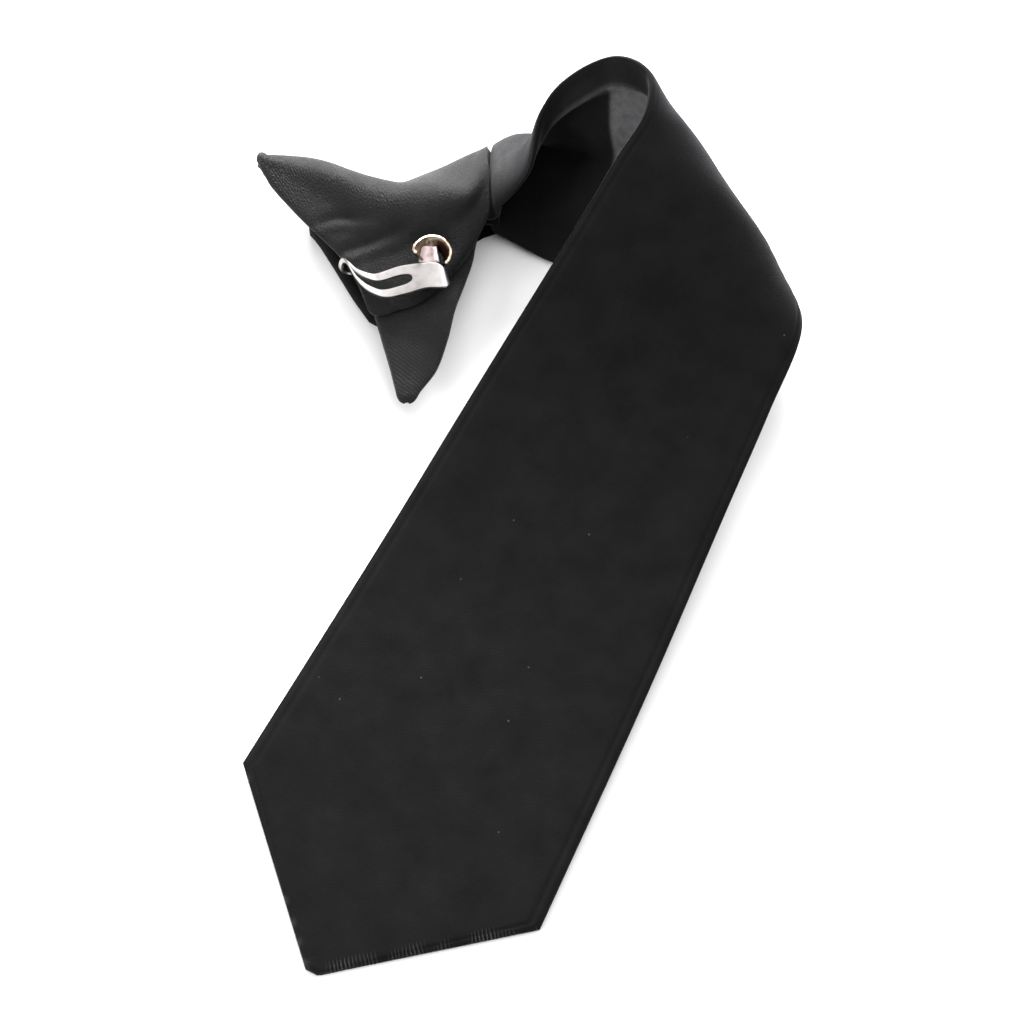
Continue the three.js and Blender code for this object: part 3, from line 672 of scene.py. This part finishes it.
half_neck = np.linalg.norm(neck_across) / 2 / KNOT_WIDTH
mouth = [MOUTH_PLACE / KNOT_LENGTH]
for share, height in (
    (-1.0, neck["near edge"][2]),
    (MOUTH_SHOULDER, SHOULDER_RISE * neck["near quarter"][2]),
    (MOUTH_CREST, CREST_RISE * neck["near quarter"][2]),
    (1.0, neck["middle"][2]),
    (MOUTH_UNDER, neck["far quarter"][2]),
):
    mouth += [share * half_neck, height / WRAP_LEVEL]
wrap_rows = {name: np.insert(values, 0, mouth[i]) for i, (name, values) in enumerate(WRAP_ROWS.items())}
shares = wrap_rows["at"]
wrap_rows["at"] = np.minimum(shares, 1) * KNOT_LENGTH + np.maximum(shares - 1, 0) * UPPER_WING_REACH
print("the wrap runs", round(wrap_rows["at"][-1] * 1000, 1), "mm from the neck")

# %% [markdown]
# Soft folds drawn by the clip are pressed into the wrap along short lines. Each entry holds a line
# of places in the knot's frame, a width and a height, all in millimetres; a height below 0 is a
# crease. A fold fades towards both ends of its line.

# %% The wrap
FOLDS = [
    ([(-42.7, -12.3), (-36.0, -10.9), (-26.3, -13.2)], 1.6, -0.6),
    ([(-40.5, -13.9), (-35.0, -13.4), (-28.0, -15.6)], 1.3, 0.35),
    ([(-38.7, -20.0), (-34.6, -19.8), (-26.3, -17.3), (-19.5, -15.0)], 1.7, -0.85),
    ([(-36.0, -22.6), (-32.0, -22.0), (-26.0, -20.2), (-21.0, -18.4)], 1.3, 0.4),
    ([(-42.2, -12.4), (-41.2, -14.4), (-38.2, -19.4), (-35.1, -22.8)], 0.9, 0.5),
    ([(-36.4, 3.6), (-26.5, -1.9), (-16.8, -5.2), (-3.0, -5.9)], 2.4, 0.4),
    ([(-21.0, -21.5), (-18.0, -18.0), (-12.5, -17.2), (-8.6, -20.8)], 1.6, -0.8),
    ([(-10.7, -29.6), (-7.2, -24.4), (-3.6, -18.8)], 1.3, -0.5),
]


def fold_strength(points, line, width):
    """1 on the line and 0 beside it, fading out towards both of its ends."""
    line = np.array(line, float)
    share = np.linspace(0, 1, 40)
    path = smooth(np.linspace(0, 1, len(line)), line, share)
    strength = np.zeros(points.shape[:2])
    for (x, y), fade in zip(path, np.sin(math.pi * np.clip(share, 0.02, 0.98)) ** 0.7):
        away = np.hypot(points[..., 0] / MM - x, points[..., 1] / MM - y)
        strength = np.maximum(strength, fade * bell(away, width))
    return strength


def press_folds(points, folds, upper):
    lift = sum(height * MM * fold_strength(points, line, width) for line, width, height in folds)
    return points + grid_normals(points) * (lift * upper)[..., None]


at = np.linspace(wrap_rows["at"][0], wrap_rows["at"][-1], 190)
t = fine_across(131, 1.4)
guides = []
for name in ("near", "shoulder", "crest", "far", "under"):
    y = column(wrap_rows, name, at) * KNOT_WIDTH
    z = column(wrap_rows, name + "Up", at) * WRAP_LEVEL
    guides.append(np.stack([-at, y, z], 1))
middle = across_guides(guides, t)
upper = (1 - ease(t, 0.1, 0.3))[None, :] * ease(at, 0.002, 0.006)[:, None]
middle = press_folds(middle, FOLDS, upper)
wall = WRAP_WALL / 2 * folded_edge(t)[None, :] * rounded_end(at, END_STARTS * at[-1], at[-1])
wrap = closed_sheet("knot_wrap_cloth", from_knot(middle), wall, wall)
print("wrap:", len(wrap.data.polygons), "faces, cloth of", round(half_area(wrap) * 1e4, 1), "cm2")

# %% [markdown]
# The lower wing is the free end of the wrap's other turn. It comes out from under the wrap and
# narrows to a rounded tip. It is a plain sheet with a slight crown and a pressed hem.

# %% The lower wing
LOWER_WING_REACH = 58 * MM
WING_CROWN = 0.5 * MM
WING_HEM_DEPTH = 0.14 * MM
WING_HEM_INSET = 1.9 * MM
WING_HEM_WIDTH = 0.6 * MM
wing_rows = table(
    "at left right up",
    [
        (0.20, -0.55, -0.060, 1.00),
        (0.28, -0.65, -0.095, 1.00),
        (0.36, -0.72, -0.115, 1.00),
        (0.465, -0.765, -0.165, 1.00),
        (0.585, -0.770, -0.228, 0.99),
        (0.72, -0.715, -0.275, 0.93),
        (0.86, -0.650, -0.350, 0.84),
        (0.95, -0.612, -0.455, 0.78),
        (0.985, -0.590, -0.490, 0.76),
        (1.00, -0.553, -0.527, 0.76),
    ],
)
at = np.concatenate([np.linspace(0.2, 0.94, 90)[:-1], np.linspace(0.94, 1, 24)])
t = fine_across(71)
left, right = (column(wing_rows, name, at)[:, None] * KNOT_WIDTH for name in ("left", "right"))
crown = WING_CROWN * (1 - (2 * t) ** 2)[None, :] * ease(at, 0.6, 0.8)[:, None]
middle = np.stack(
    [
        (left + right) / 2 + (right - left) * t,
        -at[:, None] * LOWER_WING_REACH * np.ones((1, len(t))),
        column(wing_rows, "up", at)[:, None] * WING_LEVEL + crown,
    ],
    2,
)
inset = (0.5 - np.abs(t))[None, :] * (right - left)
hem = WING_HEM_DEPTH * bell(inset - WING_HEM_INSET, WING_HEM_WIDTH) * ease(at, 0.5, 0.6)[:, None]
wall = WING_WALL / 2 * folded_edge(t)[None, :] * rounded_end(at, END_STARTS, 1)
wing = closed_sheet("lower_wing_cloth", from_knot(middle), wall - hem, wall)
print("lower wing:", len(wing.data.polygons), "faces")

# %% [markdown]
# The padded front of the knot lies underneath. Only its side is seen, as a dark rounded edge, so
# it is a loft of flat-bottomed sections with round sides, and each end is one flat face.

# %% The padded front
STUB_DEPTH = 1.2 * MM
front_rows = table(
    "at near far deep",
    [
        (-0.06, -0.19, 0.17, STUB_DEPTH),
        (0.04, -0.24, 0.15, STUB_DEPTH),
        (0.13, -0.31, 0.07, STUB_DEPTH),
        (0.16, -0.35, 0.04, FRONT_DEPTH),
        (0.28, -0.50, 0.04, FRONT_DEPTH),
        (0.50, -0.80, -0.05, FRONT_DEPTH),
        (0.62, -0.96, -0.06, FRONT_DEPTH),
        (0.66, -0.93, -0.06, FRONT_DEPTH),
        (0.75, -0.76, -0.08, FRONT_DEPTH),
        (0.85, -0.54, -0.10, FRONT_DEPTH),
        (0.93, -0.37, -0.13, FRONT_DEPTH),
        (1.00, -0.23, -0.18, FRONT_DEPTH),
    ],
)


def linear(rows, name, at):
    return np.interp(at, rows["at"], rows[name])


def front_ring(at, count=14):
    near, far = (linear(front_rows, n, at) * KNOT_WIDTH for n in ("near", "far"))
    depth = linear(front_rows, "deep", at)
    bend = min(depth / 2, (far - near) / 2.2)
    angles = np.linspace(0, math.pi, count)
    ring = []
    for centre, way in ((far - bend, 1), (near + bend, -1)):
        y = centre + way * bend * np.sin(angles)
        z = depth / 2 * (1 - way * np.cos(angles))
        ring += [(-at * KNOT_LENGTH, a, b) for a, b in zip(y, z)]
    return ring


def front_piece():
    places = np.unique(np.concatenate([np.linspace(-0.06, 1, 70), front_rows["at"]]))
    rings = np.array([front_ring(a) for a in places])
    count = rings.shape[1]
    verts = from_knot(rings.reshape(-1, 3))
    faces = []
    for i in range(len(places) - 1):
        for j in range(count):
            k = (j + 1) % count
            faces.append((i * count + j, (i + 1) * count + j, (i + 1) * count + k, i * count + k))
    faces.append(tuple(range(count)))
    faces.append(tuple(range((len(places) - 1) * count, len(places) * count))[::-1])
    mesh = bpy.data.meshes.new("knot_front_cloth")
    mesh.from_pydata(verts.tolist(), [], faces)
    mesh.validate()
    layer = mesh.uv_layers.new(name="cloth")
    for loop in mesh.loops:
        place = mesh.vertices[loop.vertex_index].co
        layer.data[loop.index].uv = (place.x, place.y + place.z)
    piece = bpy.data.objects.new("knot_front_cloth", mesh)
    bpy.context.collection.objects.link(piece)
    bpy.context.view_layer.objects.active = piece
    piece.select_set(True)
    bpy.ops.object.mode_set(mode="EDIT")
    bpy.ops.mesh.select_all(action="SELECT")
    bpy.ops.mesh.normals_make_consistent(inside=False)
    bpy.ops.object.mode_set(mode="OBJECT")
    bpy.ops.object.shade_smooth_by_angle(angle=math.radians(50))
    piece.select_set(False)
    return piece


front = front_piece()
print("padded front:", len(front.data.polygons), "faces")

# %% [markdown]
# The clip is one strip of plated spring steel: a leg inside the knot, a bend round the wrap's
# edge and a tongue with a long slot. Its table follows the strip from the leg to the tongue's free
# end, and says where its far and its near edge lie and how high it is.

# %% The clip's sizes and table
CLIP_LENGTH = 26 * MM
CLIP_WIDTH = 6.8 * MM
CLIP_X, CLIP_Y = -0.755 * KNOT_LENGTH, -0.722 * KNOT_WIDTH
SLOT_START, SLOT_END = 0.5, 0.8
SLOT_WIDTH = 2.8 * MM
SLOT_SQUARENESS = 6
clip_rows = table(
    "at farIn farSide nearIn nearSide up",
    [
        (0.00, 0.54, 1.25, 0.64, 0.30, 0.00),
        (0.12, 0.28, 1.09, 0.35, 0.26, 0.00),
        (0.24, 0.04, 0.82, 0.08, 0.32, 0.00),
        (0.30, -0.055, 0.60, -0.03, 0.42, 0.03),
        (0.38, -0.10, 0.46, -0.08, 0.29, 0.52),
        (0.46, -0.06, 0.50, -0.04, 0.33, 1.03),
        (0.53, 0.055, 0.04, 0.067, -0.42, 1.11),
        (0.57, 0.148, -0.16, 0.17, -0.86, 1.14),
        (0.62, 0.24, -0.23, 0.31, -1.14, 1.17),
        (0.74, 0.45, -0.03, 0.50, -1.11, 1.34),
        (0.86, 0.67, 0.00, 0.70, -0.98, 1.56),
        (0.93, 0.79, -0.05, 0.83, -1.02, 1.68),
        (0.97, 0.85, -0.24, 0.89, -0.99, 1.70),
        (1.00, 0.88, -0.46, 0.91, -0.84, 1.60),
    ],
)


def clip_point(at, t):
    ends = []
    for inward, side in (("nearIn", "nearSide"), ("farIn", "farSide")):
        x = CLIP_X + column(clip_rows, inward, at) * CLIP_LENGTH
        y = CLIP_Y + column(clip_rows, side, at) * CLIP_WIDTH
        z = CLIP_LEVEL + column(clip_rows, "up", at) * (TONGUE_LEVEL - CLIP_LEVEL)
        ends.append(np.stack([x, y, z], -1))
    return ends[0] + (ends[1] - ends[0]) * (np.asarray(t) + 0.5)[..., None]


slot_ends = clip_point(np.array([SLOT_START, SLOT_END]), 0.0) * 1000
print("the clip's slot is", round(np.linalg.norm(slot_ends[1] - slot_ends[0]), 1), "mm from end to end")

# %% [markdown]
# Every hard piece of the tie is a strip, and each starts as a flat grid, as the real ones start
# as flat strip. The faces of a slot are deleted, the points are moved into the bend, and Solidify
# and Bevel give the strip its thickness and its soft edges.

# %% A bent strip, and the clip
def bent_strip(name, points, wall, bevel, slotted=False):
    """A flat grid becomes the strip: its slot is cut out and its points are moved into the bend."""
    rows, cols = points.shape[:2]
    bpy.ops.mesh.primitive_grid_add(x_subdivisions=cols - 1, y_subdivisions=rows - 1, size=1)
    piece = bpy.context.active_object
    piece.name = piece.data.name = name
    bpy.ops.object.mode_set(mode="EDIT")
    bpy.ops.mesh.select_mode(type="FACE")
    bpy.ops.mesh.select_all(action="DESELECT")
    bpy.ops.object.mode_set(mode="OBJECT")
    flat = np.array([vertex.co for vertex in piece.data.vertices]).round(6)
    for face in piece.data.polygons:
        face.select = slotted and abs(face.center.x) < 0.25 / (cols - 1)
    bpy.ops.object.mode_set(mode="EDIT")
    bpy.ops.mesh.delete(type="ONLY_FACE")
    bpy.ops.object.mode_set(mode="OBJECT")
    for index, place in zip(np.lexsort((flat[:, 0], flat[:, 1])), points.reshape(-1, 3)):
        piece.data.vertices[index].co = place
    bpy.ops.object.mode_set(mode="EDIT")
    bpy.ops.mesh.select_mode(type="VERT")
    bpy.ops.mesh.select_all(action="SELECT")
    bpy.ops.mesh.remove_doubles(threshold=0.01 * MM)
    bpy.ops.mesh.select_all(action="DESELECT")
    bpy.ops.object.mode_set(mode="OBJECT")
    thick = piece.modifiers.new("thickness", "SOLIDIFY")
    thick.thickness, thick.offset, thick.use_even_offset = wall, 0, True
    soft = piece.modifiers.new("soft edges", "BEVEL")
    soft.width, soft.segments, soft.angle_limit = bevel, 3, math.radians(50)
    for modifier in ("thickness", "soft edges"):
        bpy.ops.object.modifier_apply(modifier=modifier)
    bpy.ops.object.shade_smooth_by_angle(angle=math.radians(40))
    piece.select_set(False)
    return piece


at = np.unique(np.concatenate([np.linspace(0, 1, 150), np.linspace(SLOT_START, SLOT_END, 60)]))
from_middle = (2 * at - SLOT_START - SLOT_END) / (SLOT_END - SLOT_START)
slot_shape = np.sqrt(np.clip(1 - from_middle**SLOT_SQUARENESS, 0, 1)) * (np.abs(from_middle) < 1)
opening = slot_shape[:, None] * SLOT_WIDTH / CLIP_WIDTH / 2
rail = opening + (0.5 - opening) * np.linspace(0, 1, 7)
t = np.concatenate([-rail[:, ::-1], rail], 1)
clip_places = from_knot(clip_point(at[:, None] + 0 * t, t))
clip = bent_strip("clip", clip_places, CLIP_WALL, bevel=0.14 * MM, slotted=True)
print("clip:", len(clip.data.polygons), "faces")

# %% [markdown]
# The stud beside the tongue is a curled strip of brass, open on the tongue's side, round a small
# flat tab of steel. The ring's upper edge is rolled outwards, which catches the light.

# %% The stud
STUD_RADIUS = 4.15 * MM
STUD_RISE = 3.9 * MM
STUD_LIFT = 1.7 * MM
STUD_WALL = 0.6 * MM
RIM_FLARE = 0.3 * MM
FOOT_INSET = 1.3 * MM
RIM_DENT = 0.05 * MM
TAB_WIDTH = 5.1 * MM
TAB_LENGTH = 3.9 * MM
TAB_LEAN = 0.45
TAB_TAPER = 0.3
TAB_DISH = np.array([0, 0.25, -0.5]) * MM
TAB_ASIDE = np.array([-0.75, 1, 1]) * MM

stud_rows = table(
    "at angle radius",
    [(0, -44, 1), (0.3, 30, 1), (0.6, 105, 1), (0.84, 165, 1), (0.92, 176, 0.96), (1, 184, 0.8)],
)
stud_place = np.array([-0.31 * KNOT_LENGTH, -0.667 * KNOT_WIDTH, TONGUE_LEVEL + STUD_LIFT])
at = np.linspace(0, 1, 80)
rise = np.linspace(0, 1, 12)
angle = np.radians(column(stud_rows, "angle", at))[:, None]
uneven = (np.sin(17 * at) + np.sin(31 * at + 1))[:, None]
flare = RIM_FLARE * ease(rise, 0.7, 1) - FOOT_INSET * (1 - rise) ** 1.5
reach = column(stud_rows, "radius", at)[:, None] * STUD_RADIUS + flare
reach = reach + RIM_DENT * uneven * ease(rise, 0.6, 1)
height = STUD_RISE * rise + 0 * reach
ring_points = np.stack([reach * np.cos(angle), reach * np.sin(angle), height], 2)
ring_places = from_knot(ring_points + stud_place)
stud_ring = bent_strip("stud_ring_brass", ring_places, STUD_WALL, bevel=0.16 * MM)

slant = TAB_LENGTH * np.array([0, math.cos(TAB_LEAN), math.sin(TAB_LEAN)])
rows = np.linspace(0, 1, 16)[:, None, None]
cols = np.linspace(-0.5, 0.5, 14)[None, :, None]
dish = TAB_DISH * (1 - (2 * cols) ** 2)
tab_points = cols * np.array([TAB_WIDTH, 0, 0]) * (1 - TAB_TAPER * rows) + slant * (rows - 0.5) + dish
tab_places = from_knot(tab_points + TAB_ASIDE + stud_place)
stud_tab = bent_strip("stud_tab_steel", tab_places, STUD_WALL, bevel=0.12 * MM)
print("stud:", len(stud_ring.data.polygons) + len(stud_tab.data.polygons), "faces")

# %% [markdown]
# The metals are worn from handling. Bright nickel plating is nearly white in a white room, with
# soft cloudy patches. The stud's brass is thinly plated, and the inside of its ring gets a brown painted
# shade.

# %% Plated metal


def plated_metal(name, light, dull, rough, patch_scale):
    material, nodes, links, surface = new_material(name)
    place = add(nodes, "ShaderNodeTexCoord", (-1200, 0))
    cloud = add(nodes, "ShaderNodeTexNoise", (-950, 100), Scale=patch_scale, Detail=4.0, Roughness=0.6)
    scratch_map = add(nodes, "ShaderNodeMapping", (-950, -250), Scale=(300, 2600, 900))
    scratch = add(nodes, "ShaderNodeTexNoise", (-750, -250), Scale=1.0, Detail=2.0)
    links.new(place.outputs["Object"], cloud.inputs["Vector"])
    links.new(place.outputs["Object"], scratch_map.inputs["Vector"])
    links.new(scratch_map.outputs["Vector"], scratch.inputs["Vector"])
    colour = ramp(nodes, (-500, 150), [(0.36, dull), (0.56, light)])
    links.new(cloud.outputs["Fac"], colour.inputs["Fac"])
    links.new(colour.outputs["Color"], surface.inputs["Base Color"])
    low, high = rough * 0.8, rough * 1.3
    gloss = rescale(nodes, links, (-400, -80), cloud.outputs["Fac"], 0, 1, low, high)
    links.new(gloss, surface.inputs["Roughness"])
    bump = add(nodes, "ShaderNodeBump", (-250, -300), Strength=0.25, Distance=0.00003)
    links.new(scratch.outputs["Fac"], bump.inputs["Height"])
    links.new(bump.outputs["Normal"], surface.inputs["Normal"])
    surface.inputs["Metallic"].default_value = 1.0
    return material


print("the metal helper is ready")

# %% [markdown]
# The brass ring is open on one side. On the inside of that side a brown painted shade lies below
# the rim, where the ring's wall keeps the light off. It's mixed over the plating by how far a
# place lies to that side and how deep it lies.

# %% Painted shade in the ring, and the tie's metals
# the brown of the painted shade inside the ring
SHADE_BROWN = (0.045, 0.022, 0.014, 1)


def paint_ring_shade(material, centre, to_the_side, top):
    """Paint a brown shade on the inside of the ring on one side, below its rim."""
    nodes, links = material.node_tree.nodes, material.node_tree.links
    surface = nodes["Principled BSDF"]
    bright = surface.inputs["Base Color"].links[0].from_socket
    place = add(nodes, "ShaderNodeTexCoord", (-1200, 700)).outputs["Object"]
    side = add(nodes, "ShaderNodeVectorMath", (-1000, 800), operation="DOT_PRODUCT")
    side.inputs[1].default_value = to_the_side
    height = add(nodes, "ShaderNodeSeparateXYZ", (-1000, 600))
    links.new(place, side.inputs[0])
    links.new(place, height.inputs["Vector"])
    middle = float(np.dot(centre, to_the_side))
    start, full = middle - 0.2 * MM, middle + 1.4 * MM
    sideways = rescale(nodes, links, (-800, 800), side.outputs["Value"], start, full)
    deep = rescale(nodes, links, (-800, 600), height.outputs["Z"], top, top - 0.8 * MM)
    brown = calculate(nodes, links, (-600, 700), "MULTIPLY", sideways, deep)
    shaded_ring = blend(nodes, links, (-200, 400), brown, bright, SHADE_BROWN)
    links.new(shaded_ring, surface.inputs["Base Color"])


nickel = plated_metal(
    "bright nickel", light=(0.40, 0.38, 0.375), dull=(0.34, 0.33, 0.325), rough=0.36, patch_scale=420
)
brass = plated_metal(
    "pale brass", light=(0.60, 0.52, 0.40), dull=(0.22, 0.14, 0.10), rough=0.34, patch_scale=600
)
tab_metal = plated_metal(
    "rosy steel", light=(0.50, 0.415, 0.41), dull=(0.34, 0.25, 0.25), rough=0.4, patch_scale=500
)
stud_middle = from_knot(stud_place)
# painted shade inside the brass ring, below its rim
paint_ring_shade(brass, stud_middle, (cos, sin, 0), stud_middle[2] + STUD_RISE)
print("made", nickel.name, brass.name, tab_metal.name)

# %% [markdown]
# Each piece now gets its finish, rides on the tie's one body and stands in for its solid.

# %% Dress the frame
for piece, node, slot, material in (
    (blade, "blade", "cloth", blade_cloth),
    (wrap, "knot_wrap", "cloth", knot_cloth_painted_shade),
    (wing, "wing_lower", "cloth", wing_cloth),
    (front, "knot_front", "cloth", front_cloth_painted_shade),
    (clip, "clip_spring", "spring_steel", nickel),
    (stud_ring, "stud_ring", "stud_brass", brass),
    (stud_tab, "stud_tab", "spring_steel", tab_metal),
):
    piece.data.materials.append(material)
    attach(piece, "root")
    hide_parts(node)
print("pieces dressed")

# %% [markdown]
# The tie lies on a plain white table. The camera looks down at 64 degrees, turned a little from
# the tie's own axis, so that the blade runs up to the right.

# %% Table, light and camera
CAMERA_HEIGHT = 64
CAMERA_DISTANCE = 0.75

bpy.ops.mesh.primitive_plane_add(size=6, location=(0, 0, 0))
floor = bpy.context.active_object
floor.name = "table"
floor.select_set(False)
table_material, nodes, links, surface = new_material("white table")
surface.inputs["Base Color"].default_value = (0.9, 0.9, 0.9, 1)
surface.inputs["Roughness"].default_value = 0.9
surface.inputs["Specular IOR Level"].default_value = 0.1
floor.data.materials.append(table_material)


def direction(azimuth, height):
    """azimuth is counted in degrees from the picture's top, clockwise seen from above."""
    turn_by, pitch = math.radians(azimuth) - KNOT_TURN, math.radians(height)
    level = math.cos(pitch)
    return Vector((math.sin(turn_by) * level, math.cos(turn_by) * level, math.sin(pitch)))


aim = Vector((-0.0152 + SHIFT[0], 0.0866 + SHIFT[1], -0.002))
look = direction(0, -CAMERA_HEIGHT)
camera = bpy.data.objects.new("camera", bpy.data.cameras.new("camera"))
bpy.context.collection.objects.link(camera)
camera.location = aim - look * CAMERA_DISTANCE
camera.rotation_euler = look.to_track_quat("-Z", "Y").to_euler()
camera.data.lens = 112.5
camera.data.sensor_width = 36
camera.data.clip_start = 0.01
bpy.context.scene.camera = camera


def soft_light(name, azimuth, height, distance, size, power):
    data = bpy.data.lights.new(name, "AREA")
    data.size, data.energy = size, power
    light = bpy.data.objects.new(name, data)
    bpy.context.collection.objects.link(light)
    away = direction(azimuth, height)
    light.location = aim + away * distance
    light.rotation_euler = (-away).to_track_quat("-Z", "Y").to_euler()


soft_light("window", azimuth=-8, height=22, distance=1.0, size=0.5, power=27)
soft_light("overhead", azimuth=60, height=74, distance=1.5, size=2.0, power=33)
soft_light("lamp", azimuth=-120, height=30, distance=1.0, size=0.3, power=8)
world = bpy.data.worlds.new("room")
world.use_nodes = True
world.node_tree.nodes["Background"].inputs["Color"].default_value = (1, 1, 1, 1)
world.node_tree.nodes["Background"].inputs["Strength"].default_value = 0.4
bpy.context.scene.world = world
bpy.context.scene.view_settings.view_transform = "Standard"
print("camera at", np.round(np.array(camera.location), 3))
